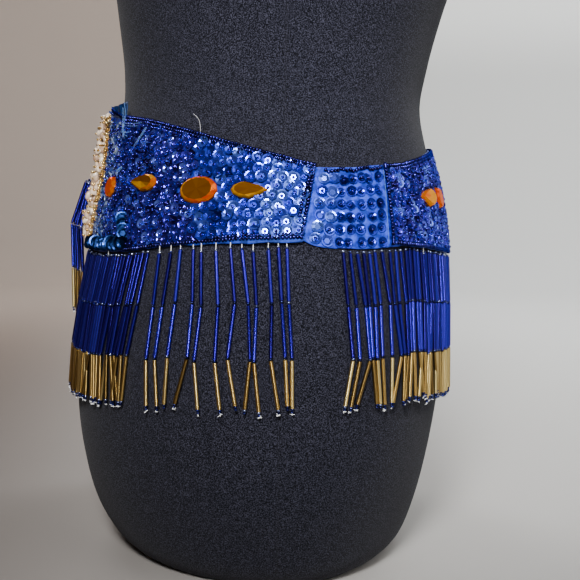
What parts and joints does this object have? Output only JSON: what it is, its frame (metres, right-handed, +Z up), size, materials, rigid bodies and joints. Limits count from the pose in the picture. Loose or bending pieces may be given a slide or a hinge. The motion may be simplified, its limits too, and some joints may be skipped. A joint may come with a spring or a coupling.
{
  "type": "beaded belly dance hip belt on a limbless dress form",
  "caption": "Sequinned and beaded hip belt with bugle bead fringe and amber gems, closed over the right hip of a limbless jersey-covered dress form that stands on its flat underside.",
  "frame": {"origin": "centre of the bounding box at its bottom, in the plane of the dress form's flat underside", "axes": "+Z up, +X the way the form faces, -Y the wearer's right hip, where the belt closes"},
  "size_m": [0.2975, 0.3564, 0.783],
  "materials": {
    "form_jersey": "charcoal knitted jersey with a fine grey fleck, matt",
    "belt_satin": "blue satin under close sewn sequins and beads",
    "tab_satin": "periwinkle blue satin with spaced cup sequins",
    "seed_beads": "navy glass seed beads, glossy",
    "blue_bugles": "silver-lined royal blue glass bugle beads, glossy",
    "pearls": "cream rice pearls with gold beads between them",
    "amber_gems": "faceted amber acrylic stones, clear and glossy"
  },
  "bodies": {
    "root": {"back_panel": "belt_satin", "bead_row_back_bottom": "seed_beads", "bead_row_back_end": "seed_beads", "bead_row_back_top": "seed_beads", "bead_row_front_bottom": "seed_beads", "bead_row_front_end": "seed_beads", "bead_row_front_top": "seed_beads", "bead_row_left_seam": "seed_beads", "bead_row_tab_top": "seed_beads", "centre_back_tassel": "blue_bugles", "closure_tab": "tab_satin", "dress_form": "form_jersey", "fringe_back": "blue_bugles", "fringe_front": "blue_bugles", "fringe_tab": "blue_bugles", "front_panel": "belt_satin", "gem_back_drop_inner_left": "amber_gems", "gem_back_drop_inner_right": "amber_gems", "gem_back_drop_outer_left": "amber_gems", "gem_back_drop_outer_right": "amber_gems", "gem_back_oval_left": "amber_gems", "gem_back_oval_right": "amber_gems", "gem_back_round_left": "amber_gems", "gem_back_round_right": "amber_gems", "gem_centre_back": "amber_gems", "gem_centre_front": "amber_gems", "gem_front_drop_left": "amber_gems", "gem_front_drop_right": "amber_gems", "gem_front_round_left": "amber_gems", "gem_front_round_right": "amber_gems", "pearl_braid_left": "pearls", "pearl_braid_right": "pearls"}
  },
  "joints": []
}
